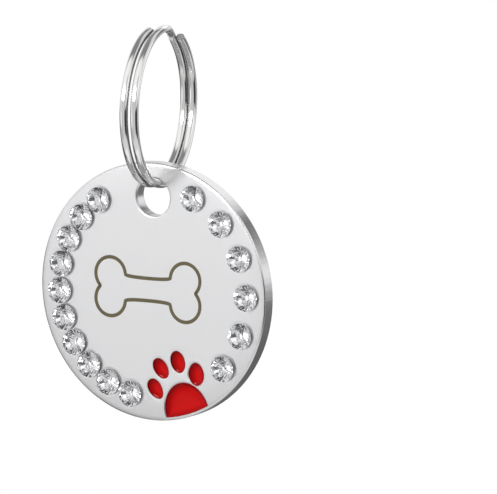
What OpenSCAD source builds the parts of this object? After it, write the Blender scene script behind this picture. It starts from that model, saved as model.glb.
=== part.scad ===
// Round pet identity tag: a metal disc set with crystals and an enamel paw print,
// hanging on a split ring of two turns. Lengths are in millimetres. +Z is up and the
// disc's front faces -Y. The origin is the inside top of the ring, where the loop of
// a collar bears.

/* [Disc] */
// Diameter of the disc
disc_d = 30; // [27:0.5:36]
// Thickness of the disc
disc_t = 1.8; // [1.6:0.1:2.4]
// Rounding of the disc's two edges
edge_round = 0.15; // [0.1:0.05:0.2]

/* [Ring hole] */
// Diameter of the hole that the ring goes through
hole_d = 4.4; // [4:0.1:5]
// Metal between the hole and the disc's edge
hole_web = 1.8; // [1.4:0.05:2.4]
// Rounding of the hole's two rims
hole_round = 0.25; // [0.1:0.05:0.5]

/* [Split ring] */
// Outside diameter of the ring
ring_d = 18.8; // [16:0.2:24]
// Width of the wire, along the ring's axis
wire_w = 1; // [0.8:0.05:1.2]
// Thickness of the wire, across the ring
wire_t = 0.8; // [0.65:0.05:1]
// Rounding of the wire's corners
wire_round = 0.3; // [0.15:0.05:0.32]
// Gap between the two turns at the back of the ring
turn_gap = 0.06; // [0.04:0.01:0.2]
// Further opening of the turns at the front of the ring, where they have sprung apart
turn_open = 0.27; // [0.02:0.01:0.4]
// Length of the taper at each end of the wire
wire_end_l = 0.12; // [0.06:0.02:0.2]
// Arc in which the wire crosses from one turn to the other, in degrees
cross_arc = 42; // [30:1:60]
// Middle of the crossing, in degrees behind the ring's top
cross_back_angle = 13; // [0:0.5:20]
// Turn of the ring away from square with the disc, in degrees
ring_turn = 8.5; // [0:0.1:12]
// Set of the ring's middle behind the disc's
ring_back = 0.5; // [0:0.05:0.8]
// Play between the ring and the hole where the disc hangs on it
ring_play = 0.05; // [0.05:0.05:0.3]

/* [Stones] */
// Metal between the stones and the disc's edge
stone_edge = 1; // [0.8:0.05:1.4]
// Stones in the close row, down the left side
close_count = 10; // [6:1:10]
// Place of the close row's first stone, in degrees round from +X
close_start_angle = 125.5; // [122:0.5:128]
// Step from stone to stone in the close row, in degrees
close_step_angle = 14.5; // [13.6:0.1:14.5]
// Gap between stones in the close row, which gives the stones their diameter
close_gap = 0.1; // [0.1:0.05:0.4]
// Stones in the open row, down the right side
open_count = 6; // [3:1:6]
// Place of the open row's first stone, in degrees round from +X
open_start_angle = 64.4; // [62:0.2:66]
// Step from stone to stone in the open row, in degrees
open_step_angle = 21.1; // [18:0.1:21.2]
// Height of a stone's girdle above the face
stone_stand = 0.25; // [0.15:0.05:0.4]
// Thickness of the girdle
girdle_t = 0.12; // [0.08:0.02:0.2]
// Height of the crown, from the girdle to the table
crown_h = 0.6; // [0.4:0.05:0.8]
// Depth of the pavilion, from the girdle to the culet
pavilion_h = 1.2; // [1:0.05:1.3]
// Diameter of the flat culet
culet_d = 0.6; // [0.4:0.05:0.8]
// Play between a stone and its conical seat
seat_play = 0.05; // [0.02:0.01:0.1]
// Thickness of the cement under a stone
cement_t = 0.2; // [0.1:0.05:0.3]

/* [Paw print] */
// Width of the pad as a share of the disc's diameter
pad_share = 0.193; // [0.17:0.001:0.2]
// Metal between the pad's lower edge and the disc's edge
pad_edge = 0.34; // [0.34:0.02:0.6]
// Height of the pad's widest line above its lower edge
pad_rise = 0.3; // [0.1:0.05:0.6]
// Place of the paw on the disc, in degrees round from +X
paw_place = -71.6; // [-76:0.2:-70]
// Lean of the paw to the left of upright, in degrees
paw_lean = 24; // [20:1:28]
// Depth of the recesses that hold the enamel
recess_depth = 0.4; // [0.3:0.05:0.6]
// Width of the bevel round each recess
recess_bevel = 0.1; // [0.05:0.01:0.12]
// Drop from the face to the enamel's edge
enamel_drop = 0.12; // [0.06:0.02:0.2]
// Further dip of the enamel's surface in its middle
enamel_dip = 0.06; // [0.02:0.01:0.08]
// Play between the enamel and the recess wall
enamel_play = 0.01; // [0.005:0.005:0.03]

/* [Hidden] */
// Height of the pad's dome, and the width and length of a toe, as shares of the pad's width
dome_share = 0.587;
toe_width_share = 0.328;
toe_length_share = 0.457;
// Place of each toe from the pad's middle: across as a share of half the pad's width,
// along as a share of the pad's height
toe_across_shares = [-1, -0.43, 0.42, 1];
toe_along_shares = [1.13, 1.7, 1.68, 1.05];
// Lean of each toe beside the paw's own, in degrees
toe_leans = [16, 14, -5, -17];
// Width of each toe beside the usual, and how far its lower end narrows
toe_girth_shares = [0.95, 0.98, 1.03, 1.07];
toe_point_shares = [0.12, 0.04, 0.02, -0.03];
toe_count = len(toe_leans);
// Table and the corners between its sides, as shares of the stone's radius
table_share = 0.54;
bezel_share = 0.8;
// Face of the wire's two ends as a share of its section, and the crossing's own section,
// drawn in a little so that it meets each turn inside it
wire_end_share = 0.75;
weld_share = 0.98;

disc_r = disc_d / 2;
hole_r = hole_d / 2;
hole_up = disc_r - hole_web - hole_r;
// The radius at which the stones of the close row stand close_gap apart
half_step = sin(close_step_angle / 2);
stone_r = ((disc_r - stone_edge) * half_step - close_gap / 2) / (1 + half_step);
stone_circle_r = disc_r - stone_edge - stone_r;
stone_count = close_count + open_count;
culet_r = culet_d / 2;
// Slope of the pavilion, and the levels under a stone, with the face at zero
pavilion_slope = (stone_r - culet_r) / pavilion_h;
culet_z = stone_stand - pavilion_h;
seat_floor_z = culet_z - cement_t;
pad_w = pad_share * disc_d;
pad_h = dome_share * pad_w;
toe_w = toe_width_share * pad_w;
toe_l = toe_length_share * pad_w;
pad_rim_r = disc_r - pad_edge;
pad_middle_r = pad_rim_r - pad_rise;

ring_r = ring_d / 2;
ring_inner_r = ring_r - wire_t;
wire_r = ring_r - wire_t / 2;
turn_pitch = wire_w + turn_gap;
// Each turn leans out about the ring's upright line, by a quarter of the opening at its
// middle and by as much again at the front
turn_lean = asin(turn_open / 4 / ring_r);
ring_half_w = wire_w + turn_gap / 2 + turn_open / 4;
turn_arc = 360 - cross_arc;
wire_start = cross_arc / 2 - cross_back_angle;
end_arc = wire_end_l / wire_r * 180 / PI;
// How far the crossing and the tapers reach into the turns that they carry on
weld_arc = wire_round / wire_r * 180 / PI;
// The ring's rounded corners bear on the hole's round wall a little out from its top, at
// the front end of the wall, and the ring's inside curves down to its own lowest point
bear_y = ring_back + disc_t / 2 - hole_round;
bear_x = ring_half_w - wire_round + bear_y * tan(ring_turn);
bear_sag = ring_inner_r - sqrt(pow(ring_inner_r, 2) - pow(bear_y, 2));
bear_up = sqrt(pow(hole_r - ring_play - wire_round, 2) - pow(bear_x, 2)) + wire_round - bear_sag;

ring_z = -ring_inner_r;
hole_z = ring_z - ring_inner_r - bear_up;
disc_z = hole_z - hole_up;

// Overrun of cuts past a face, and the thin layer that a bevel starts from
overrun = disc_t / 4;
layer = recess_bevel / 20;
outline_steps = 40;
dish_steps = 4;
facets = 8;
corner_steps = 4;
cross_steps = 14;
$fn = 96;

function two_digits(n) = str(n < 10 ? "0" : "", n);
stone_names = [for (i = [1:stone_count]) str("stone_", two_digits(i))];
toe_names = [for (i = [1:toe_count]) str("enamel_toe_", i)];

// The disc's own frame: x across, y up from its centre, z out of its front face
module on_disc() translate([0, -ring_back - disc_t / 2, disc_z]) rotate([90, 0, 0]) children();

function stone_angle(i) = i < close_count
    ? close_start_angle + close_step_angle * i
    : open_start_angle - open_step_angle * (i - close_count);

module at_stone(i) rotate(stone_angle(i)) translate([stone_circle_r, 0]) children();

// A disc with both its edges rounded
module disc_blank() translate([0, 0, -disc_t]) rotate_extrude() {
    square([disc_r - edge_round, disc_t]);
    translate([0, edge_round]) square([disc_r, disc_t - 2 * edge_round]);
    for (y = [edge_round, disc_t - edge_round]) translate([disc_r - edge_round, y]) circle(edge_round);
}

// Half of the hole's rim, which flares out to the face at z = 0
module hole_flare() rotate_extrude() difference() {
    translate([0, -hole_round]) square([hole_r + hole_round, hole_round + overrun]);
    translate([hole_r + hole_round, -hole_round]) circle(hole_round);
}

module ring_hole() translate([0, hole_up]) {
    translate([0, 0, -disc_t - overrun]) cylinder(h = disc_t + 2 * overrun, r = hole_r);
    hole_flare();
    translate([0, 0, -disc_t]) mirror([0, 0, 1]) hole_flare();
}

// Conical seat that a stone's pavilion rests in
module stone_seat() {
    floor_r = culet_r + seat_play;
    mouth_r = floor_r + pavilion_slope * (overrun - culet_z);
    translate([0, 0, seat_floor_z]) cylinder(h = cement_t, r = floor_r);
    translate([0, 0, culet_z]) cylinder(h = overrun - culet_z, r1 = floor_r, r2 = mouth_r);
}

// Egg with its length along y, narrower at its lower end for a positive point share
module egg(width, length, point_share) polygon([
    for (k = [0:outline_steps - 1]) let (t = 360 * k / outline_steps)
        [width / 2 * cos(t) * (1 + point_share * sin(t)), length / 2 * sin(t)]
]);

// The paw's own frame: origin at the pad's middle, y up along the paw
module on_paw() rotate(paw_place) translate([pad_middle_r, 0]) rotate(paw_lean - paw_place) children();

function toe_place(i) = [toe_across_shares[i] * pad_w / 2, toe_along_shares[i] * pad_h];

// Outlines of the toes, numbered from the left, and then of the pad
module paw_outline(i, grow = 0) {
    if (i < toe_count)
        on_paw() translate(toe_place(i)) rotate(toe_leans[i])
            egg(toe_w * toe_girth_shares[i] + 2 * grow, toe_l + 2 * grow, toe_point_shares[i]);
    else
        intersection() {
            on_paw() egg(pad_w + 2 * grow, 2 * (pad_h + grow), 0);
            circle(pad_rim_r + grow);
        }
}

// Straight-walled pocket with a bevelled rim
module enamel_recess(i) {
    translate([0, 0, -recess_depth]) linear_extrude(recess_depth) paw_outline(i);
    hull() {
        translate([0, 0, -recess_bevel]) linear_extrude(layer) paw_outline(i);
        linear_extrude(layer) paw_outline(i, recess_bevel);
    }
}

// Cut that dishes the enamel, as surface tension does: deepest in the middle and
// running out at the ends of the recess
module enamel_dish(reach) rotate_extrude() polygon(concat(
    [[0, overrun], [0, -enamel_dip]],
    [for (k = [1:dish_steps]) let (share = k / dish_steps) [reach * share, enamel_dip * (share * share - 1)]],
    [[reach + overrun, 0], [reach + overrun, overrun]]));

// Enamel that fills a recess
module enamel_fill(i) {
    reach = i < toe_count ? toe_l / 2 : pad_w / 2;
    middle = i < toe_count ? toe_place(i) : [0, pad_h / 2 - pad_rise];
    difference() {
        translate([0, 0, -recess_depth])
            linear_extrude(recess_depth - enamel_drop) paw_outline(i, -enamel_play);
        on_paw() translate([middle.x, middle.y, -enamel_drop]) enamel_dish(reach);
    }
}

module tag_disc() color("gainsboro") on_disc() difference() {
    disc_blank();
    ring_hole();
    for (i = [0:stone_count - 1]) at_stone(i) stone_seat();
    for (i = [0:toe_count]) enamel_recess(i);
}

module enamel_toe(i) color("firebrick") on_disc() enamel_fill(i);

module enamel_pad() color("firebrick") on_disc() enamel_fill(toe_count);

module stone_cement() color("ivory") on_disc()
    for (i = [0:stone_count - 1]) at_stone(i)
        translate([0, 0, seat_floor_z]) cylinder(h = cement_t, r = culet_r);

function ring_of(count, r, z, turn = 0) =
    [for (k = [0:count - 1]) let (t = 360 * k / count + turn) [r * cos(t), r * sin(t), z]];

// Round cut: a table, star and kite facets, a girdle and a flat-ended pavilion
module stone(i) {
    sides = 2 * facets;
    step = 180 / facets;
    girdle_z = stone_stand + girdle_t;
    bezel_r = bezel_share * stone_r;
    table_r = table_share * stone_r;
    // The height at which each kite facet is one flat plane
    bezel_z = girdle_z + crown_h * (stone_r - bezel_r * cos(step)) / (stone_r - table_r);
    points = concat(
        ring_of(facets, table_r, girdle_z + crown_h),
        ring_of(facets, bezel_r, bezel_z, step),
        ring_of(sides, stone_r, girdle_z),
        ring_of(sides, stone_r, stone_stand),
        ring_of(sides, culet_r, culet_z));
    table = 0;
    bezel = facets;
    girdle = 2 * facets;
    lower = girdle + sides;
    culet = lower + sides;
    faces = concat(
        [[for (k = [facets - 1:-1:0]) table + k]],
        [for (k = [0:facets - 1]) [table + k, table + (k + 1) % facets, bezel + k]],
        [for (k = [0:facets - 1])
            [table + k, bezel + k, girdle + 2 * k, bezel + (k + facets - 1) % facets]],
        [for (k = [0:facets - 1]) [bezel + k, girdle + 2 * k + 1, girdle + 2 * k]],
        [for (k = [0:facets - 1]) [bezel + k, girdle + (2 * k + 2) % sides, girdle + 2 * k + 1]],
        [for (k = [0:sides - 1]) let (n = (k + 1) % sides)
            [girdle + k, girdle + n, lower + n, lower + k]],
        [for (k = [0:sides - 1]) let (n = (k + 1) % sides)
            [lower + k, lower + n, culet + n, culet + k]],
        [[for (k = [0:sides - 1]) culet + k]]);
    color("white") on_disc() at_stone(i) polyhedron(points, faces);
}

// The wire's section: outwards from the ring's axis, then along it from the wire's middle
wire_section = [
    for (corner = [0:3]) let (
        x = (wire_t / 2 - wire_round) * (corner == 0 || corner == 3 ? 1 : -1),
        y = (wire_w / 2 - wire_round) * (corner < 2 ? 1 : -1))
        for (k = [0:corner_steps - 1]) let (t = 90 * corner + 90 * k / (corner_steps - 1))
            [wire_r + x + wire_round * cos(t), y + wire_round * sin(t)]
];

// The ring's own frame: z along its axis, and angles along the wire from its front end,
// which lies a little before the ring's top
module on_ring()
    translate([0, 0, ring_z]) rotate(ring_turn) rotate(180, [1, 0, 1]) rotate(wire_start) children();

// One turn of the wire, less the crossing: side is 1 or -1 along the ring's axis
module wire_turn(side)
    translate([0, 0, side * (turn_pitch / 2 + turn_open / 4)])
        rotate(side * turn_lean, [cos(wire_start), -sin(wire_start), 0])
            rotate_extrude(angle = turn_arc) polygon(wire_section);

// Distance of a turn's middle from the ring's, at an angle along the wire
function turn_shift(angle) = turn_pitch / 2 + turn_open / 4 * (1 + sin(angle + wire_start));

// One section of the wire as points in the ring's frame: at an angle, at a share of the
// turns' own shift along the axis, and drawn in about its middle by a share
function wire_ring(angle, side, share) = [
    for (p = wire_section) let (r = wire_r + (p.x - wire_r) * share)
        [r * cos(angle), r * sin(angle), side * turn_shift(angle) + p.y * share]
];

// A short stretch of wire through a list of sections
module wire_skin(rings) {
    n = len(wire_section);
    last = len(rings) - 1;
    polyhedron([for (ring = rings, p = ring) p], concat(
        [[for (k = [n - 1:-1:0]) k]],
        [for (i = [0:last - 1], k = [0:n - 1]) let (m = (k + 1) % n)
            [i * n + k, i * n + m, (i + 1) * n + k]],
        [for (i = [0:last - 1], k = [0:n - 1]) let (m = (k + 1) % n)
            [i * n + m, (i + 1) * n + m, (i + 1) * n + k]],
        [[for (k = [0:n - 1]) last * n + k]]));
}

// The wire runs one turn, crosses over past both of its ends, and runs the other turn
module split_ring() color("silver") on_ring() {
    wire_turn(-1);
    wire_turn(1);
    wire_skin(concat(
        [wire_ring(turn_arc - weld_arc, -1, weld_share)],
        [for (i = [0:cross_steps])
            wire_ring(turn_arc + cross_arc * i / cross_steps, -cos(180 * i / cross_steps), weld_share)],
        [wire_ring(360 + weld_arc, 1, weld_share)]));
    wire_skin([
        wire_ring(-end_arc, -1, wire_end_share),
        wire_ring(0, -1, weld_share),
        wire_ring(weld_arc, -1, wire_end_share)]);
    wire_skin([
        wire_ring(turn_arc - weld_arc, 1, wire_end_share),
        wire_ring(turn_arc, 1, weld_share),
        wire_ring(turn_arc + end_arc, 1, wire_end_share)]);
}

tag_disc();
split_ring();
stone_cement();
enamel_pad();
for (i = [0:toe_count - 1]) enamel_toe(i);
for (i = [0:stone_count - 1]) stone(i);
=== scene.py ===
"""Looks of the pet id tag: a satin steel disc, a polished split ring, foil-backed crystals
and a red enamel paw. The object's lengths are in millimetres and become metres where a mesh
is made. Those of the camera, the lamp and the surroundings are in metres."""

import math
import random

import bpy
from mathutils import Matrix, Vector


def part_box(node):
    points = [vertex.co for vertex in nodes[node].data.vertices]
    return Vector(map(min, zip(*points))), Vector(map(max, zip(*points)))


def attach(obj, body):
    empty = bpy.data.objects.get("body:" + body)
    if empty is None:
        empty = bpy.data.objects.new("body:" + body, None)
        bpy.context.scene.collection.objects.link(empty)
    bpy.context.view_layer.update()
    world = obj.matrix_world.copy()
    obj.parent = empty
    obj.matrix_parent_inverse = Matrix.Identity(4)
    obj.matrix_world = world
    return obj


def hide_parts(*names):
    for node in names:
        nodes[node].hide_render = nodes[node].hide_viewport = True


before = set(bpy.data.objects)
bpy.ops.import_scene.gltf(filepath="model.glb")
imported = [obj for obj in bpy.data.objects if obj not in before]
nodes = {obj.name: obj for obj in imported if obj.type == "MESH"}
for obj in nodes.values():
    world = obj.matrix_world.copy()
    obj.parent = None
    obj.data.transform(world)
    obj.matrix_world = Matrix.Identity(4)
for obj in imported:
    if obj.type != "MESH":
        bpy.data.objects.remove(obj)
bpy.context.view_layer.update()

MM = 0.001
WHITE = (1, 1, 1, 1)

disc_low, disc_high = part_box("tag_disc")
face_y = disc_low.y
back_y = disc_high.y
face_centre = Vector(((disc_low.x + disc_high.x) / 2, face_y, (disc_low.z + disc_high.z) / 2))
disc_r = (disc_high.x - disc_low.x) / 2 / MM
stone_names = sorted(n for n in nodes if n.startswith("stone_") and n != "stone_cement")


# Shared helpers


def direction(azimuth, elevation):
    """Unit vector from the object towards a place: azimuth 0 is the front, 90 is +X."""
    a = math.radians(azimuth)
    e = math.radians(elevation)
    return Vector((math.sin(a) * math.cos(e), -math.cos(a) * math.cos(e), math.sin(e)))


def rotated(x, y, degrees):
    """A point turned about the origin."""
    a = math.radians(degrees)
    return x * math.cos(a) - y * math.sin(a), x * math.sin(a) + y * math.cos(a)


def turns(count, start=0.0):
    """Angles that divide a circle into even steps."""
    return [start + 2 * math.pi * k / count for k in range(count)]


def circle_of(count, r, z, start=0.0):
    return [Vector((r * math.cos(t), r * math.sin(t), z)) for t in turns(count, start)]


def tube_faces(rings, count, flip=False):
    """Quads between closed rings of count points each, which follow one another in a mesh."""
    faces = []
    for i in range(rings - 1):
        here = i * count
        after = here + count
        for k in range(count):
            m = (k + 1) % count
            if flip:
                faces.append((here + k, after + k, after + m, here + m))
            else:
                faces.append((here + k, here + m, after + m, after + k))
    return faces


def new_object(name, data):
    made = bpy.data.objects.new(name, data)
    bpy.context.scene.collection.objects.link(made)
    return made


def give_values(mesh, name, values):
    """Puts a number on each point of a mesh, which its material reads."""
    mesh.attributes.new(name, "FLOAT", "POINT").data.foreach_set("value", values)


# Camera


# The photograph's size in pixels, the direction and distance from which it was taken, its
# scale at the disc's face and the pixel of that face's middle
PICTURE_W = 497
PICTURE_H = 494
CAMERA_AZIMUTH = 30.58
CAMERA_ELEVATION = 8.66
CAMERA_DISTANCE = 1.6
PIXELS_PER_MM = 8.686
FACE_CENTRE_PIXEL = (153.02, 291.75)
SENSOR_WIDTH = 36
# Nearest and farthest that the camera sees, as shares of its distance
CLIP_SHARES = (0.01, 10)


def make_camera():
    back = direction(CAMERA_AZIMUTH, CAMERA_ELEVATION)
    turn = back.to_track_quat("Z", "Y")
    right = turn @ Vector((1, 0, 0))
    up = turn @ Vector((0, 1, 0))
    across = (PICTURE_W / 2 - FACE_CENTRE_PIXEL[0]) / PIXELS_PER_MM * MM
    above = (FACE_CENTRE_PIXEL[1] - PICTURE_H / 2) / PIXELS_PER_MM * MM
    camera = new_object("camera", bpy.data.cameras.new("camera"))
    camera.data.sensor_width = SENSOR_WIDTH
    camera.data.lens = SENSOR_WIDTH * CAMERA_DISTANCE / (PICTURE_W / PIXELS_PER_MM * MM)
    camera.data.clip_start = CAMERA_DISTANCE * CLIP_SHARES[0]
    camera.data.clip_end = CAMERA_DISTANCE * CLIP_SHARES[1]
    camera.location = face_centre + across * right + above * up + CAMERA_DISTANCE * back
    camera.rotation_mode = "QUATERNION"
    camera.rotation_quaternion = turn
    bpy.context.scene.camera = camera


# Node trees


# Most of a noise's values lie between these two
NOISE_LOW = 0.3
NOISE_HIGH = 0.7


class Nodes:
    """Short way to write a node tree: each call adds nodes and returns the last one or its
    output. In a keyword of add, _ is a space of the input's name, or _0 is input number 0."""

    def __init__(self, tree):
        self.tree = tree
        tree.nodes.clear()

    def add(self, kind, settings=None, **inputs):
        node = self.tree.nodes.new(kind)
        for name, value in (settings or {}).items():
            setattr(node, name, value)
        for name, value in inputs.items():
            key = int(name[1:]) if name[0] == "_" else name.replace("_", " ")
            self.put(node, key, value)
        return node

    def put(self, node, key, value):
        """Links a node or an output to an input, or sets the input to a value."""
        if isinstance(value, bpy.types.Node):
            value = value.outputs[0]
        if isinstance(value, bpy.types.NodeSocket):
            self.tree.links.new(value, node.inputs[key])
        else:
            node.inputs[key].default_value = value

    def math(self, operation, a, b=0.0):
        return self.add("ShaderNodeMath", {"operation": operation}, _0=a, _1=b).outputs[0]

    def vector(self, operation, a, b=(0, 0, 0)):
        node = self.add("ShaderNodeVectorMath", {"operation": operation}, _0=a, _1=b)
        return node.outputs["Value" if operation in ("LENGTH", "DISTANCE") else "Vector"]

    def ramp(self, value, low, high, start=0.0, end=1.0):
        """Maps value from low..high softly to start..end, held at both ends."""
        node = self.add("ShaderNodeMapRange", {"interpolation_type": "SMOOTHSTEP"}, Value=value)
        limits = {"From Min": low, "From Max": high, "To Min": start, "To Max": end}
        for name, limit in limits.items():
            node.inputs[name].default_value = limit
        return node.outputs[0]

    def noise(self, where, scale, detail):
        node = self.add("ShaderNodeTexNoise", Vector=where, Scale=scale, Detail=detail)
        return node.outputs[0]

    def drift(self, noise, low, high):
        """A value that drifts between two with a noise."""
        return self.ramp(noise, NOISE_LOW, NOISE_HIGH, low, high)

    def blend(self, factor, a, b):
        """Mix of two colours."""
        node = self.add("ShaderNodeMix", {"data_type": "RGBA"}, Factor=factor, _6=a, _7=b)
        return node.outputs[2]

    def place(self):
        return self.add("ShaderNodeTexCoord").outputs["Object"]

    def attribute(self, name):
        return self.add("ShaderNodeAttribute", {"attribute_name": name}).outputs["Fac"]

    def seen_directly(self):
        """1 for camera, glossy and transmission rays, else 0."""
        path = self.add("ShaderNodeLightPath")
        first = self.math("MAXIMUM", path.outputs["Is Camera Ray"], path.outputs["Is Glossy Ray"])
        return self.math("MAXIMUM", first, path.outputs["Is Transmission Ray"])

    def mix_shaders(self, factor, a, b):
        return self.add("ShaderNodeMixShader", _0=factor, _1=a, _2=b)

    def finish(self, tone, rough, **inputs):
        """A principled surface of a tone and a roughness."""
        kind = "ShaderNodeBsdfPrincipled"
        return self.add(kind, Base_Color=tone, Roughness=rough, **inputs)

    def surface(self, shader):
        self.add("ShaderNodeOutputMaterial", Surface=shader)


def new_material(name):
    material = bpy.data.materials.new(name)
    material.use_nodes = True
    return material, Nodes(material.node_tree)


# Surroundings


# Strength of the world as a light on the object
WORLD_STRENGTH = 0.34

# The floor: radius, drop below the disc's lowest point, sides, grain, tones and roughness
FLOOR_RADIUS = 0.6
FLOOR_DROP = 0.12
FLOOR_SIDES = 64
FLOOR_GRAIN = (300.0, 2.0)
FLOOR_TONES = ((0.88, 0.88, 0.88, 1), (0.92, 0.92, 0.92, 1))
FLOOR_ROUGHNESS = 0.8
# Two distances from its middle, and how far it is turned to plain white there
FLOOR_FADE = (0.15, 0.5, 0.5, 1.0)

# The studio as the metal and the crystals see it, as patches round the tag: azimuth and
# elevation of the middle, half the width and height, softness of the border and level
STUDIO_BASE = 0.8
STUDIO_PATCHES = (
    (0, -76, 180, 16, 10, 0.32),
    (0, 84, 180, 10, 10, 0.2),
    (-105, 62, 46, 18, 14, 0.28),
    (-97, -25, 31, 28, 8, 0.12),
    (-2, -63, 46, 13, 6, 1.05),
    (-57, -46, 17, 14, 6, 0.13),
    (12, 60, 58, 11, 6, 0.98),
    (-34, 46, 24, 20, 8, 1.1),
    (-44, 8, 12, 24, 8, 0.92),
    (-36, -22, 18, 12, 10, 0.5),
    (-29, -5, 7, 11, 6, 1.32),
    (-10, -5, 9, 26, 6, 0.64),
    (-105, 16, 7, 14, 8, 1.3),
    (62, -10, 44, 17, 7, 0.05),
    (22, 22, 5, 14, 4, 0.2),
    (8, 46, 5, 6, 4, 0.3),
    (70, 30, 20, 12, 8, 1.2),
    (184, -33, 38, 13, 5, 0.15),
    (150, -16, 12, 8, 5, 0.16),
    (204, -9, 14, 9, 4, 0.12),
    (-100, -66, 50, 12, 10, 0.4),
    (-135, 55, 15, 8, 8, 0.3),
    (168, -2, 8, 8, 4, 0.28),
    (150, 4, 7, 5, 4, 1.15),
    (189, 29, 19, 12, 5, 1.2),
    (157, 21, 8, 11, 4, 0.12),
    (134, -22, 13, 20, 8, 0.2),
    (131, 20, 11, 16, 6, 1.1),
    (205, 46, 14, 8, 4, 0.25),
    (-19, 9, 9, 7, 5, 0.68),
    (-15.5, 26.5, 9, 7, 4, 13.0),
)
STUDIO_RADIUS = 0.25
# The dome has a point at each whole degree, down and up to this elevation
STUDIO_LIMIT = 89


def make_world():
    """White to the camera and in reflections, and a plain soft light on the object."""
    world = bpy.data.worlds.new("studio")
    bpy.context.scene.world = world
    world.use_nodes = True
    n = Nodes(world.node_tree)
    lit = n.add("ShaderNodeBackground", Color=WHITE, Strength=WORLD_STRENGTH)
    seen = n.add("ShaderNodeBackground", Color=WHITE, Strength=1.0)
    mixed = n.mix_shaders(n.seen_directly(), lit, seen)
    n.add("ShaderNodeOutputWorld", Surface=mixed)


def make_floor():
    """A pale floor well below the hanging tag. It keeps the shadow near the tag and turns
    to plain white further out."""
    rim = circle_of(FLOOR_SIDES, FLOOR_RADIUS, disc_low.z - FLOOR_DROP)
    mesh = bpy.data.meshes.new("floor")
    mesh.from_pydata(rim, [], [tuple(range(FLOOR_SIDES))])
    material, n = new_material("floor")
    where = n.place()
    out = n.vector("LENGTH", n.vector("MULTIPLY", where, (1, 1, 0)))
    pale = n.finish(n.blend(n.noise(where, *FLOOR_GRAIN), *FLOOR_TONES), FLOOR_ROUGHNESS)
    white = n.add("ShaderNodeEmission", Color=WHITE, Strength=1.0)
    amount = n.math("MULTIPLY", n.seen_directly(), n.ramp(out, *FLOOR_FADE))
    n.surface(n.mix_shaders(amount, pale, white))
    mesh.materials.append(material)
    floor = new_object("floor", mesh)
    floor.visible_glossy = False
    floor.visible_transmission = False


def add_lamp(name, azimuth, elevation, distance, size, power):
    """A square soft lamp, aimed at the disc's face, that no reflection shows."""
    toward = direction(azimuth, elevation)
    lamp = new_object(name, bpy.data.lights.new(name, "AREA"))
    lamp.visible_glossy = False
    lamp.data.shape = "SQUARE"
    lamp.data.size = size
    lamp.data.energy = power
    lamp.location = face_centre + distance * toward
    lamp.rotation_mode = "QUATERNION"
    lamp.rotation_quaternion = toward.to_track_quat("Z", "Y")


def patch_share(apart, half, soft):
    """1 well inside a patch and 0 well outside it, by the angle from its middle."""
    return min(max((half - apart) / soft + 0.5, 0), 1)


def studio_level(azimuth, elevation):
    """Brightness of the studio in a direction. Each patch lies over the ones before it."""
    level = STUDIO_BASE
    for middle_azimuth, middle_elevation, half_w, half_h, soft, value in STUDIO_PATCHES:
        across = abs((azimuth - middle_azimuth + 180) % 360 - 180)
        along = abs(elevation - middle_elevation)
        inside = patch_share(across, half_w, soft) * patch_share(along, half_h, soft)
        level += inside * (value - level)
    return level


def make_studio():
    """Soft boxes, flags and the room between them, as a dome that is seen only in
    reflections and through the crystals."""
    columns = 360
    elevations = range(-STUDIO_LIMIT, STUDIO_LIMIT + 1)
    points = []
    levels = []
    for elevation in elevations:
        for azimuth in range(columns):
            points.append(face_centre + STUDIO_RADIUS * direction(azimuth, elevation))
            levels.append(studio_level(azimuth, elevation))
    mesh = bpy.data.meshes.new("studio_dome")
    mesh.from_pydata(points, [], tube_faces(len(elevations), columns))
    give_values(mesh, "level", levels)
    material, n = new_material("studio_dome")
    n.surface(n.add("ShaderNodeEmission", Color=WHITE, Strength=n.attribute("level")))
    mesh.materials.append(material)
    dome = new_object("studio_dome", mesh)
    dome.visible_camera = False
    dome.visible_diffuse = False
    dome.visible_shadow = False


# Materials. Each noise is given by its scale and detail, and tones and roughness by the two
# values between which they drift


def dress(node, material):
    """Gives a CAD node's object a new material, in its own slots."""
    slots = nodes[node].data.materials
    slots.clear()
    slots.append(material)


STEEL_CLOUD = (260.0, 3.0)
STEEL_TONES = ((0.79, 0.79, 0.80, 1), (0.82, 0.82, 0.83, 1))
STEEL_ROUGHNESS = (0.36, 0.40)
# The disc's edge and the hole's wall are darker, they and the rim are smoother, and the back
# is rougher and lighter, with painted light that stands in for the dim studio behind the tag
WALL_TONE = (0.70, 0.70, 0.71, 1)
RIM_SMOOTHER = 0.16
BACK_PAINTED_LIGHT_TONE = (0.90, 0.90, 0.91, 1)
BACK_ROUGHER = 0.26
# Where each of these starts and where it is whole: this far inside the disc's outline for
# its rim and edge, outside the hole's outline for its wall, and in front of the back
RIM_BLEND = (0.35, 0.1)
EDGE_BLEND = (0.06, 0.02)
BORE_BLEND = (0.06, 0.02)
BACK_BLEND = (0.05, 0.02)
# The face's soft roll towards its rim and a sharper one close to it: width, and slope at
# the rim
ROLLS = ((3.6, 0.075), (0.5, 0.3))
# The face's dip beside each stone and recess: width and depth
LIP_W = 0.28
LIP_DEPTH = 0.018
GRAIN = (9000.0, 2.0)
GRAIN_HEIGHT = 0.0004
# The ring hole: height above the disc's middle, radius, and the slope by which its wall is
# shaded as if it opened to the front
HOLE_UP = 11.0
HOLE_R = 2.2
HOLE_FLARE = 0.14


def roll_height(n, out):
    """Height of the disc's faces by the distance from their middle."""
    height = 0.0
    for width, slope in ROLLS:
        over = n.math("MAXIMUM", n.math("SUBTRACT", out, disc_r - width), 0)
        fall = n.math("MULTIPLY", n.math("POWER", over, 2), -slope / (2 * width))
        height = n.math("ADD", height, fall)
    return height


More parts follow.
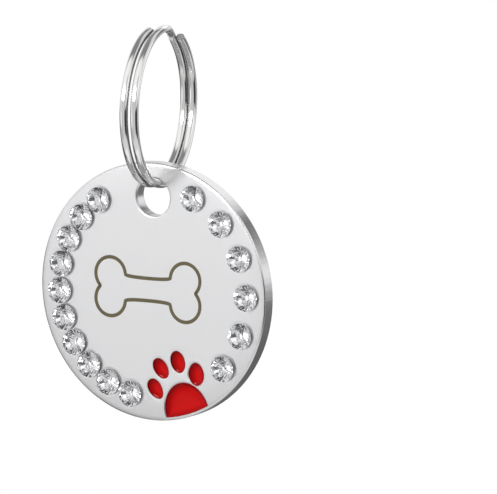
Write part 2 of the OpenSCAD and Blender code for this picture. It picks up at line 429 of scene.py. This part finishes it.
def seat_gap(n, flat):
    """Distance of a place on the disc from the nearest stone or recess."""
    gaps = []
    for name in stone_names:
        x, y, r = stone_place(name)
        gaps.append(n.math("SUBTRACT", n.vector("DISTANCE", flat, (x, y, 0)), r))
    for x, y, half_w, half_l, lean in paw_ovals():
        turned = n.add(
            "ShaderNodeVectorRotate",
            {"rotation_type": "Z_AXIS"},
            Vector=n.vector("SUBTRACT", flat, (x, y, 0)),
            Angle=-math.radians(lean),
        )
        shrunk = n.vector("MULTIPLY", turned, (1 / half_w, 1 / half_l, 1))
        over = n.math("SUBTRACT", n.vector("LENGTH", shrunk), 1)
        gaps.append(n.math("MULTIPLY", over, (half_w + half_l) / 2))
    near = gaps[0]
    for gap in gaps[1:]:
        near = n.math("MINIMUM", near, gap)
    return near


def steel_material():
    """Satin steel. Its faces roll over softly at the rim and dip a little beside each
    stone and recess, its edge and its hole are smoother, and its back is matt and
    lighter with painted light."""
    material, n = new_material("satin_steel")
    where = n.place()
    apart = n.add("ShaderNodeSeparateXYZ", Vector=where)
    across = n.math("MULTIPLY", n.math("SUBTRACT", apart.outputs["X"], face_centre.x), 1 / MM)
    up = n.math("MULTIPLY", n.math("SUBTRACT", apart.outputs["Z"], face_centre.z), 1 / MM)
    flat = n.add("ShaderNodeCombineXYZ", X=across, Y=up)
    out = n.vector("LENGTH", flat)
    from_hole = n.vector("DISTANCE", flat, (0, HOLE_UP, 0))

    rim = n.ramp(out, disc_r - RIM_BLEND[0], disc_r - RIM_BLEND[1])
    edge = n.ramp(out, disc_r - EDGE_BLEND[0], disc_r - EDGE_BLEND[1])
    bore = n.ramp(from_hole, HOLE_R + BORE_BLEND[1], HOLE_R + BORE_BLEND[0], 1.0, 0.0)
    back = n.ramp(apart.outputs["Y"], back_y - BACK_BLEND[0] * MM, back_y - BACK_BLEND[1] * MM)
    front = n.math("LESS_THAN", apart.outputs["Y"], (face_y + back_y) / 2)

    lip = n.math("MULTIPLY", n.ramp(seat_gap(n, flat), 0, LIP_W, -LIP_DEPTH, 0), front)
    grain = n.math("MULTIPLY", n.noise(where, *GRAIN), GRAIN_HEIGHT)
    opened = n.math("MULTIPLY", n.math("SUBTRACT", apart.outputs["Y"], face_y), HOLE_FLARE / MM)
    flare = n.math("MULTIPLY", n.math("MULTIPLY", bore, opened), n.math("SUBTRACT", 1, back))
    height = n.math("ADD", roll_height(n, out), flare)
    height = n.math("ADD", height, n.math("ADD", lip, grain))
    height = n.math("MULTIPLY", height, MM)
    bump = n.add("ShaderNodeBump", Strength=1.0, Distance=1.0, Height=height)

    cloud = n.noise(where, *STEEL_CLOUD)
    tone = n.blend(n.math("MAXIMUM", edge, bore), n.blend(cloud, *STEEL_TONES), WALL_TONE)
    # The back's lighter tone is painted light, for light the studio behind the tag doesn't give
    tone = n.blend(back, tone, BACK_PAINTED_LIGHT_TONE)
    smoother = n.math("MULTIPLY", n.math("MAXIMUM", rim, bore), RIM_SMOOTHER)
    rough = n.math("SUBTRACT", n.drift(cloud, *STEEL_ROUGHNESS), smoother)
    rough = n.math("ADD", rough, n.math("MULTIPLY", back, BACK_ROUGHER))
    n.surface(n.finish(tone, rough, Metallic=1.0, Normal=bump))
    return material


NICKEL_CLOUD = (400.0, 3.0)
NICKEL_TONES = ((0.78, 0.78, 0.775, 1), (0.81, 0.81, 0.805, 1))
NICKEL_ROUGHNESS = (0.07, 0.11)
# Where the plate starts to dull and to take a painted shade, from 0 in the wire's middle to 1
# at its side that faces the other turn, and the shade's tone and added roughness there
GROOVE_START = 0.7
GROOVE_SHADE_TONE = (0.32, 0.32, 0.32, 1)
GROOVE_ROUGHER = 0.3


def nickel_material():
    """Bright nickel plate, duller and with painted shade where the two turns lie together."""
    material, n = new_material("polished_nickel")
    cloud = n.noise(n.place(), *NICKEL_CLOUD)
    shade_and_dull = n.ramp(n.attribute("groove"), GROOVE_START, 1.0)
    # The groove's dark tone is painted shade between the two turns
    tone = n.blend(shade_and_dull, n.blend(cloud, *NICKEL_TONES), GROOVE_SHADE_TONE)
    rougher = n.math("MULTIPLY", shade_and_dull, GROOVE_ROUGHER)
    rough = n.math("ADD", n.drift(cloud, *NICKEL_ROUGHNESS), rougher)
    n.surface(n.finish(tone, rough, Metallic=1.0))
    return material


SHEAR_SCORE = (6000.0, 4.0)
SHEAR_AND_SHADE_TONES = ((0.30, 0.30, 0.30, 1), (0.46, 0.46, 0.46, 1))
SHEAR_ROUGHNESS = (0.35, 0.5)


def sheared_and_shaded_material():
    """The wire's cut ends: bare, dull and scored by the shear, and darkened with painted shade.
    """
    material, n = new_material("sheared_shaded_wire")
    score = n.noise(n.place(), *SHEAR_SCORE)
    # The ends' dark tones are partly the bare cut metal and partly painted shade
    tone = n.blend(score, *SHEAR_AND_SHADE_TONES)
    n.surface(n.finish(tone, n.drift(score, *SHEAR_ROUGHNESS), Metallic=1.0))
    return material


GLASS_IOR = 1.58
FOIL_CLOUD = (3000.0, 2.0)
MIRROR_TONES = ((0.90, 0.90, 0.92, 1), (0.95, 0.95, 0.96, 1))
MIRROR_ROUGHNESS = (0.03, 0.05)
LACQUER_TONES = ((0.42, 0.42, 0.42, 1), (0.52, 0.52, 0.52, 1))
LACQUER_ROUGHNESS = 0.4


def crystal_materials():
    """Clear cut glass, and its foil: a mirror from inside and lacquer from outside."""
    glass, n = new_material("cut_glass")
    n.surface(n.add("ShaderNodeBsdfGlass", Color=WHITE, Roughness=0.0, IOR=GLASS_IOR))
    foil, n = new_material("crystal_foil")
    cloud = n.noise(n.place(), *FOIL_CLOUD)
    shine = n.drift(cloud, *MIRROR_ROUGHNESS)
    mirror = n.finish(n.blend(cloud, *MIRROR_TONES), shine, Metallic=1.0)
    lacquer = n.finish(n.blend(cloud, *LACQUER_TONES), LACQUER_ROUGHNESS, Metallic=1.0)
    inner = n.add("ShaderNodeNewGeometry").outputs["Backfacing"]
    n.surface(n.mix_shaders(inner, lacquer, mirror))
    return glass, foil


ENAMEL_CLOUD = (900.0, 3.0)
ENAMEL_TONES = ((0.41, 0.001, 0.001, 1), (0.49, 0.001, 0.002, 1))
ENAMEL_ROUGHNESS = (0.08, 0.14)
ENAMEL_SPECULAR_TINT = (0.55, 0.16, 0.155, 1)
# The painted shade at the enamel's outline, and how far it reaches in
ENAMEL_EDGE_SHADE_TONE = (0.24, 0.0, 0.001, 1)
ENAMEL_EDGE_SHADE_W = 0.8


def enamel_material():
    """Glossy red enamel, a little uneven in depth, with painted shade at its outline."""
    material, n = new_material("red_enamel")
    cloud = n.noise(n.place(), *ENAMEL_CLOUD)
    inside = n.ramp(n.attribute("edge"), 0, ENAMEL_EDGE_SHADE_W)
    # The darker tone at the outline is painted shade from the recess's wall
    tone = n.blend(inside, ENAMEL_EDGE_SHADE_TONE, n.blend(cloud, *ENAMEL_TONES))
    rough = n.drift(cloud, *ENAMEL_ROUGHNESS)
    n.surface(n.finish(tone, rough, Specular_Tint=ENAMEL_SPECULAR_TINT))
    return material


CEMENT_CLOUD = (2500.0, 3.0)
CEMENT_TONES = ((0.60, 0.57, 0.48, 1), (0.74, 0.71, 0.63, 1))
CEMENT_ROUGHNESS = 0.6


def cement_material():
    """Pale, matt cement in the tips of the seats."""
    material, n = new_material("cement")
    cloud = n.noise(n.place(), *CEMENT_CLOUD)
    n.surface(n.finish(n.blend(cloud, *CEMENT_TONES), CEMENT_ROUGHNESS))
    return material


MARK_CLOUD = (2500.0, 3.0)
MARK_TONES = ((0.092, 0.076, 0.036, 1), (0.13, 0.108, 0.058, 1))
MARK_ROUGHNESS = (0.5, 0.65)
MARK_METALLIC = 0.3


def engraving_material():
    """Laser mark in the steel: an olive brown, matt oxide."""
    material, n = new_material("laser_mark")
    cloud = n.noise(n.place(), *MARK_CLOUD)
    rough = n.drift(cloud, *MARK_ROUGHNESS)
    n.surface(n.finish(n.blend(cloud, *MARK_TONES), rough, Metallic=MARK_METALLIC))
    return material


# Pieces


def make_piece(name, points, faces, body, materials, face_materials=None, smooth=True):
    """A mesh piece from points in millimetres, which rides on a body. face_materials gives
    the number of each face's material where there are more than one."""
    mesh = bpy.data.meshes.new(name)
    mesh.from_pydata([Vector(p) * MM for p in points], [], faces)
    for material in materials:
        mesh.materials.append(material)
    if face_materials:
        mesh.polygons.foreach_set("material_index", face_materials)
    mesh.polygons.foreach_set("use_smooth", [smooth] * len(faces))
    mesh.update()
    piece = new_object(name, mesh)
    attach(piece, body)
    return piece


def flatten(piece, faces):
    """Shades some faces of a smooth piece flat."""
    for k in faces:
        piece.data.polygons[k].use_smooth = False


def on_disc(x, y, out):
    """A point in millimetres from the disc's own frame: across and up from its centre, and
    out of its front face."""
    return face_centre / MM + Vector((x, -out, y))


def stone_place(name):
    """Middle of a stone on the face, from the disc's centre, and its radius."""
    low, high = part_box(name)
    middle = ((low + high) / 2 - face_centre) / MM
    return middle.x, middle.z, (high.z - low.z + high.x - low.x) / 4 / MM


# The split ring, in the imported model's sizes: its outer diameter, the wire's width along the
# ring's axis and its thickness, the gap between the turns at the back of the ring, their
# further opening at its front, and the length of the wire's two ends
RING_D = 18.8
WIRE_W = 1.0
WIRE_T = 0.8
TURN_GAP = 0.06
TURN_OPEN = 0.27
WIRE_END_L = 0.12
# In degrees: the arc of the model's crossing from one turn to the other, its middle behind
# the ring's top, and the ring's turn away from square with the disc
CROSS_ARC = 42.0
CROSS_BACK_ANGLE = 13.0
RING_TURN = 8.5
# How much sooner than the model's the wire's softer crossing starts and ends here
CROSS_EARLIER = 10.0
CROSS_ENDS_EARLIER = 2.0

RING_R = RING_D / 2
WIRE_R = RING_R - WIRE_T / 2
TURN_ARC = 360 - CROSS_ARC
WIRE_START = CROSS_ARC / 2 - CROSS_BACK_ANGLE

# The wire stays this far inside the model's
WIRE_PLAY = 0.01
# Its section: half the angle over which the outer and inner faces crown, and the sides, and
# the radius of the sides
FACE_CROWN_ANGLE = 4.0
SIDE_CROWN_ANGLE = 30.0
SIDE_R = 0.42
# Steps in a quarter of the section, over half a face, a corner and half a side
FACE_STEPS = 3
CORNER_STEPS = 6
SIDE_STEPS = 4
# Degrees from one section to the next along the wire, and their shares of the full size
# over each end
WIRE_STEP_ANGLE = 1.5
END_SHARES = (0.72, 0.88, 0.96, 1.0)


def wire_section():
    """Section of the wire, outwards and along the ring's axis, walked by the angle of its
    normal: nearly flat outer and inner faces, round corners and rounder sides."""
    face = math.radians(FACE_CROWN_ANGLE)
    side = math.radians(90 - SIDE_CROWN_ANGLE)
    half_t = WIRE_T / 2 - WIRE_PLAY
    half_w = WIRE_W / 2 - WIRE_PLAY
    # The face's and the corner's radius follow from what the side leaves of half the
    # thickness and half the width
    left_t = half_t - SIDE_R * math.cos(side)
    left_w = half_w - SIDE_R * (1 - math.sin(side))
    face_t = 1 - math.cos(face)
    face_w = math.sin(face)
    corner_t = math.cos(face) - math.cos(side)
    corner_w = math.sin(side) - math.sin(face)
    divisor = face_t * corner_w - corner_t * face_w
    face_r = (left_t * corner_w - corner_t * left_w) / divisor
    corner_r = (face_t * left_w - left_t * face_w) / divisor
    arcs = (
        (0, face, FACE_STEPS, face_r),
        (face, side, CORNER_STEPS, corner_r),
        (side, math.pi / 2, SIDE_STEPS, SIDE_R),
    )
    x = half_t
    y = 0.0
    quarter = [(x, y)]
    for start, end, steps, r in arcs:
        for k in range(steps):
            before = start + (end - start) * k / steps
            after = start + (end - start) * (k + 1) / steps
            x += r * (math.cos(after) - math.cos(before))
            y += r * (math.sin(after) - math.sin(before))
            quarter.append((x, y))
    half = quarter + [(-x, y) for x, y in reversed(quarter[:-1])]
    return half + [(x, -y) for x, y in reversed(half[1:-1])]


def wire_stations():
    """The wire's sections: angle along it, side of the ring from -1 to 1, and share of the
    full size."""
    last = len(END_SHARES) - 1
    end_arc = math.degrees(WIRE_END_L / WIRE_R)
    whole_arc = 360 + TURN_ARC
    leave = TURN_ARC - CROSS_EARLIER
    arrive = 360 - CROSS_ENDS_EARLIER
    stations = [(end_arc * (k / last - 1), -1, share) for k, share in enumerate(END_SHARES)]
    count = round(whole_arc / WIRE_STEP_ANGLE)
    for k in range(1, count):
        angle = whole_arc * k / count
        crossed = min(max((angle - leave) / (arrive - leave), 0), 1)
        stations.append((angle, -math.cos(math.pi * crossed), 1))
    for k in range(last, -1, -1):
        stations.append((whole_arc + end_arc * (1 - k / last), 1, END_SHARES[k]))
    return stations


def split_ring(material, shaded_cut_material):
    """The wire in its two turns. Each point's groove tells how far it faces the other turn."""
    section = wire_section()
    stations = wire_stations()
    points = []
    grooves = []
    for angle, side, share in stations:
        a = math.radians(angle)
        lean = math.sin(a + math.radians(WIRE_START))
        for x, y in section:
            r = WIRE_R + x * share
            # Half the turns' further opening: none at the back, and all at the front
            opened = TURN_OPEN / 4 * (1 + r / RING_R * lean)
            z = side * ((WIRE_W + TURN_GAP) / 2 + opened) + y * share
            points.append(Vector((r * math.cos(a), r * math.sin(a), z)))
            grooves.append(max(-2 * y / WIRE_W * side, 0))
    n = len(section)
    bands = len(stations) - 1
    faces = [tuple(range(n - 1, -1, -1))]
    faces += tube_faces(len(stations), n)
    faces.append(tuple(range(bands * n, bands * n + n)))
    end_bands = len(END_SHARES) - 1
    kinds = [1]
    for band in range(bands):
        kinds += [int(band < end_bands or band >= bands - end_bands)] * n
    kinds.append(1)
    to_place = (
        Matrix.Translation((0, 0, -(RING_R - WIRE_T)))
        @ Matrix.Rotation(math.radians(RING_TURN), 4, "Z")
        @ Matrix.Rotation(math.pi, 4, Vector((1, 0, 1)))
        @ Matrix.Rotation(math.radians(WIRE_START), 4, "Z")
    )
    placed = [to_place @ p for p in points]
    ring = make_piece("split_ring_wire", placed, faces, "ring", [material, shaded_cut_material], kinds)
    give_values(ring.data, "groove", grooves)
    flatten(ring, (0, len(faces) - 1))
    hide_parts("split_ring")


# The crystals' cut: the girdle's height above the face and its thickness, the crown's
# height, the pavilion's depth and the culet's diameter
STONE_STAND = 0.25
GIRDLE_T = 0.12
CROWN_H = 0.6
PAVILION_H = 1.14
CULET_D = 0.6
# Corners of the table and outer corners of the bezel facets, as shares of a stone's radius
TABLE_SHARE = 0.54
BEZEL_SHARE = 0.8
FACETS = 8
# Least and most tilt of a stone in its seat, in degrees
STONE_TILT = (0.3, 2.0)
SEED = 12


def stone_mesh(r):
    """Brilliant cut round +Z, with the disc's face at z = 0: points, faces and, for each
    face, 0 where it is clear glass and 1 where it is foiled."""
    half = math.pi / FACETS
    sides = 2 * FACETS
    girdle_z = STONE_STAND + GIRDLE_T
    bezel_z = girdle_z + CROWN_H * (1 - BEZEL_SHARE * math.cos(half)) / (1 - TABLE_SHARE)
    rings = (
        circle_of(FACETS, TABLE_SHARE * r, girdle_z + CROWN_H),
        circle_of(FACETS, BEZEL_SHARE * r, bezel_z, half),
        circle_of(sides, r, girdle_z),
        circle_of(sides, r, STONE_STAND),
        circle_of(FACETS, CULET_D / 2, STONE_STAND - PAVILION_H, half),
    )
    table, bezel, girdle, under, culet = (sum(map(len, rings[:i])) for i in range(len(rings)))
    points = [p for ring in rings for p in ring]
    clear = [tuple(table + k for k in range(FACETS))]
    foiled = [tuple(culet + k for k in range(FACETS - 1, -1, -1))]
    for k in range(FACETS):
        before = (k - 1) % FACETS
        after = (k + 1) % FACETS
        own = 2 * k
        mid = 2 * k + 1
        end = (2 * k + 2) % sides
        clear.append((table + k, bezel + k, table + after))
        clear.append((table + k, bezel + before, girdle + own, bezel + k))
        clear.append((bezel + k, girdle + own, girdle + mid))
        clear.append((bezel + k, girdle + mid, girdle + end))
        foiled.append((under + own, culet + before, culet + k))
        foiled.append((under + own, culet + k, under + mid))
        foiled.append((under + mid, culet + k, under + end))
    for k in range(sides):
        m = (k + 1) % sides
        clear.append((girdle + k, under + k, under + m, girdle + m))
    return points, clear + foiled, [0] * len(clear) + [1] * len(foiled)


def make_stones(glass, foil):
    """One crystal in each stone's place, each turned and tilted a little in its seat."""
    rng = random.Random(SEED)
    stand = Matrix.Rotation(math.pi / 2, 4, "X")
    for name in stone_names:
        x, y, r = stone_place(name)
        points, faces, kinds = stone_mesh(r)
        spin = Matrix.Rotation(rng.uniform(0, 2 * math.pi), 4, "Z")
        toward = rng.uniform(0, 2 * math.pi)
        axis = Vector((math.cos(toward), math.sin(toward), 0))
        tilt = Matrix.Rotation(math.radians(rng.uniform(*STONE_TILT)), 4, axis)
        to_place = Matrix.Translation(on_disc(x, y, 0)) @ stand @ tilt @ spin
        placed = [to_place @ p for p in points]
        made = "crystal_" + name.removeprefix("stone_")
        stone = make_piece(made, placed, faces, "tag", [glass, foil], kinds, smooth=False)
        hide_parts(name)


# The paw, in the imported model's sizes: the pad's width and height, the radii about the
# disc's middle of the arc that closes the pad and of the paw's origin, the paw's place round
# from +X and its lean in degrees, and a toe's width and length
PAD_W = 5.79
PAD_H = 3.399
PAD_RIM_R = 14.66
PAD_MIDDLE_R = 14.36
PAW_PLACE = -71.6
PAW_LEAN = 24.0
TOE_W = 1.899
TOE_L = 2.646
# Of each toe: its place across as a share of half the pad's width, its place along as a
# share of the pad's height, lean, girth, and how far its lower end narrows
TOES = (
    (-1.0, 1.13, 16, 0.95, 0.12),
    (-0.43, 1.7, 14, 0.98, 0.04),
    (0.42, 1.68, -5, 1.03, 0.02),
    (1.0, 1.05, -17, 1.07, -0.03),
)
RECESS_DEPTH = 0.4
# Drop of the enamel below the face at its outline and far from it, the width over which it
# climbs, and its play in the recess
ENAMEL_EDGE_DROP = 0.085
ENAMEL_MIDDLE_DROP = 0.34
MENISCUS_W = 0.42
ENAMEL_PLAY = 0.006
# Loops of points across the enamel, as shares of its outline's reach from the middle
ENAMEL_LOOPS = (1, 0.985, 0.965, 0.94, 0.91, 0.87, 0.82, 0.75, 0.65, 0.5, 0.3, 0.1)
OUTLINE_STEPS = 120
# The pad's outline is felt for from a place this far up the paw, by steps that shrink from
# the first length to the last
PAD_START_UP = 1.3
TRACE_STEPS = (0.5, 0.0005)


def paw_point(x, y):
    """A point of the paw's own frame, in the disc's."""
    place = math.radians(PAW_PLACE)
    middle = PAD_MIDDLE_R * Vector((math.cos(place), math.sin(place)))
    return Vector(rotated(x, y, PAW_LEAN)) + middle


def toe_middle(across, along):
    return across * PAD_W / 2, along * PAD_H


def paw_ovals():
    """Ellipses round the toes and the pad: middle, half width and length, and lean."""
    ovals = []
    for across, along, lean, girth, _ in TOES:
        middle = paw_point(*toe_middle(across, along))
        ovals.append((middle.x, middle.y, TOE_W * girth / 2, TOE_L / 2, PAW_LEAN + lean))
    middle = paw_point(0, 0)
    ovals.append((middle.x, middle.y, PAD_W / 2, PAD_H, PAW_LEAN))
    return ovals


def toe_outline(across, along, lean, girth, narrowing):
    """Outline of a toe's enamel, an egg, and its middle."""
    middle_x, middle_y = toe_middle(across, along)
    loop = []
    for t in turns(OUTLINE_STEPS):
        width = (TOE_W * girth / 2 - ENAMEL_PLAY) * (1 + narrowing * math.sin(t))
        length = TOE_L / 2 - ENAMEL_PLAY
        x, y = rotated(width * math.cos(t), length * math.sin(t), lean)
        loop.append(paw_point(middle_x + x, middle_y + y))
    return loop, paw_point(middle_x, middle_y)


def pad_outline():
    """Outline of the pad's enamel, the upper half of an oval closed below by an arc that
    follows the disc's rim, and a place inside it."""
    rim = PAD_RIM_R - ENAMEL_PLAY
    half_w = PAD_W / 2 - ENAMEL_PLAY
    height = PAD_H - ENAMEL_PLAY
    loop = []
    for t in turns(OUTLINE_STEPS * 2):
        reach = 0.0
        step = TRACE_STEPS[0]
        while step > TRACE_STEPS[1]:
            x = (reach + step) * math.cos(t)
            y = (reach + step) * math.sin(t) + PAD_START_UP
            inside = (x / half_w) ** 2 + (y / height) ** 2 < 1
            if inside and paw_point(x, y).length < rim:
                reach += step
            else:
                step /= 2
        loop.append(paw_point(reach * math.cos(t), reach * math.sin(t) + PAD_START_UP))
    return loop, paw_point(0, PAD_START_UP)


def make_enamel(material, node, loop, middle):
    """Enamel that climbs the recess's wall in a soft curve and is lowest in its middle. Each
    point's edge tells how far it is from the outline."""
    count = len(loop)
    points = [on_disc(p.x, p.y, -RECESS_DEPTH) for p in loop]
    edges = [0.0] * count
    for share in ENAMEL_LOOPS:
        for p in loop:
            here = middle + (p - middle) * share
            edge = min((here - q).length for q in loop)
            climb = (ENAMEL_MIDDLE_DROP - ENAMEL_EDGE_DROP) * math.exp(-edge / MENISCUS_W)
            points.append(on_disc(here.x, here.y, climb - ENAMEL_MIDDLE_DROP))
            edges.append(edge)
    total = len(points)
    faces = [tuple(range(count))]
    faces += tube_faces(len(ENAMEL_LOOPS) + 1, count, flip=True)
    faces.append(tuple(range(total - 1, total - count - 1, -1)))
    piece = make_piece(node + "_fill", points, faces, "tag", [material])
    # The underside and the band of faces against the recess's wall
    flatten(piece, range(1 + count))
    give_values(piece.data, "edge", edges)
    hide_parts(node)


# The marks stand this far out of the disc, and reach this far into it
MARK_OUT = 0.012
MARK_IN = 0.02
# The bone on the front: length, radius of its lobes and their middles' height above the
# bone's, half the bar's thickness, width of the line, and place from the disc's middle
BONE_L = 14.0
BONE_LOBE_R = 2.0
BONE_LOBE_UP = 1.45
BONE_BAR_HALF = 1.3
BONE_LINE_W = 0.42
BONE_PLACE = (-0.7, 0.2)
LOBE_STEPS = 14
# How often the bone's corners are cut, and at which share of each side
CORNER_ROUNDS = 2
CORNER_SHARE = 0.25
# The rules on the back: length and height of each, thickness, and steps round an end
BACK_RULES = ((9.5, 3.2), (14.0, 0.6), (14.0, -2.0))
RULE_T = 0.5
RULE_END_STEPS = 8


def smooth_loop(loop, rounds):
    """Cuts a closed loop's corners again and again, so that they turn round."""
    for _ in range(rounds):
        cut = []
        for a, b in zip(loop, loop[1:] + loop[:1]):
            cut.append(a.lerp(b, CORNER_SHARE))
            cut.append(a.lerp(b, 1 - CORNER_SHARE))
        loop = cut
    return loop


def offset_loop(loop, amount):
    """The loop moved to its left by an amount."""
    moved = []
    for before, here, after in zip(loop[-1:] + loop[:-1], loop, loop[1:] + loop[:1]):
        along = (after - before).normalized()
        moved.append(here + amount * Vector((-along.y, along.x)))
    return moved


def bone_loop():
    """Outline of a plain bone, lying along x about the origin."""
    lobe_x = BONE_L / 2 - BONE_LOBE_R
    tip = math.asin(BONE_LOBE_UP / BONE_LOBE_R)
    join = math.pi - math.asin((BONE_BAR_HALF - BONE_LOBE_UP) / BONE_LOBE_R)
    quarter = []
    for k in range(LOBE_STEPS + 1):
        t = -tip + (join + tip) * k / LOBE_STEPS
        x = lobe_x + BONE_LOBE_R * math.cos(t)
        y = BONE_LOBE_UP + BONE_LOBE_R * math.sin(t)
        quarter.append(Vector((x, y)))
    half = quarter + [Vector((-p.x, p.y)) for p in reversed(quarter)]
    return half + [Vector((p.x, -p.y)) for p in reversed(half)]


def rule_loop(length, up):
    """Outline of a rule with round ends."""
    r = RULE_T / 2
    loop = []
    for side in (1, -1):
        for k in range(RULE_END_STEPS + 1):
            t = math.pi * (k / RULE_END_STEPS - 0.5)
            x = side * (length / 2 - r + r * math.cos(t))
            loop.append(Vector((x, up + side * r * math.sin(t))))
    return loop


def mark_band(loop, width):
    """A thin closed band along a loop on the front of the disc: points and faces."""
    points = []
    for depth in (-MARK_OUT, MARK_IN):
        for out in (width / 2, -width / 2):
            points += [Vector((p.x, face_y / MM + depth, p.y)) for p in offset_loop(loop, out)]
    n = len(loop)
    a, b, c, d = (s * n for s in range(4))
    faces = []
    for k in range(n):
        m = (k + 1) % n
        faces.append((a + k, b + k, b + m, a + m))
        faces.append((c + k, c + m, d + m, d + k))
        faces.append((a + k, a + m, c + m, c + k))
        faces.append((b + k, d + k, d + m, b + m))
    return points, faces


def mark_plates(loops):
    """A thin plate inside each loop on the back of the disc: points and faces."""
    points = []
    faces = []
    for loop in loops:
        first = len(points)
        for depth in (MARK_OUT, -MARK_IN):
            points += [Vector((p.x, back_y / MM + depth, p.y)) for p in loop]
        n = len(loop)
        plate = [tuple(range(n - 1, -1, -1)), tuple(range(n, 2 * n))]
        plate += tube_faces(2, n)
        faces += [tuple(first + k for k in face) for face in plate]
    return points, faces


def make_marks(material):
    """The line of a bone on the front and plain rules on the back."""
    centre = face_centre / MM
    bone_middle = Vector((centre.x + BONE_PLACE[0], centre.z + BONE_PLACE[1]))
    bone = [p + bone_middle for p in smooth_loop(bone_loop(), CORNER_ROUNDS)]
    middle = Vector((centre.x, centre.z))
    rules = [[p + middle for p in rule_loop(*rule)] for rule in BACK_RULES]
    meshes = {"engraved_bone": mark_band(bone, BONE_LINE_W), "engraved_rules": mark_plates(rules)}
    for name, (points, faces) in meshes.items():
        mark = make_piece(name, points, faces, "tag", [material], smooth=False)


make_camera()
make_world()
make_floor()
add_lamp("key_lamp", azimuth=-56, elevation=40, distance=0.6, size=0.25, power=5.4)
make_studio()

dress("tag_disc", steel_material())
dress("stone_cement", cement_material())
enamel = enamel_material()
for k, toe in enumerate(TOES):
    make_enamel(enamel, f"enamel_toe_{k + 1}", *toe_outline(*toe))
make_enamel(enamel, "enamel_pad", *pad_outline())
split_ring(nickel_material(), sheared_and_shaded_material())
glass, foil = crystal_materials()
make_stones(glass, foil)
make_marks(engraving_material())

bpy.context.scene.view_settings.view_transform = "Standard"
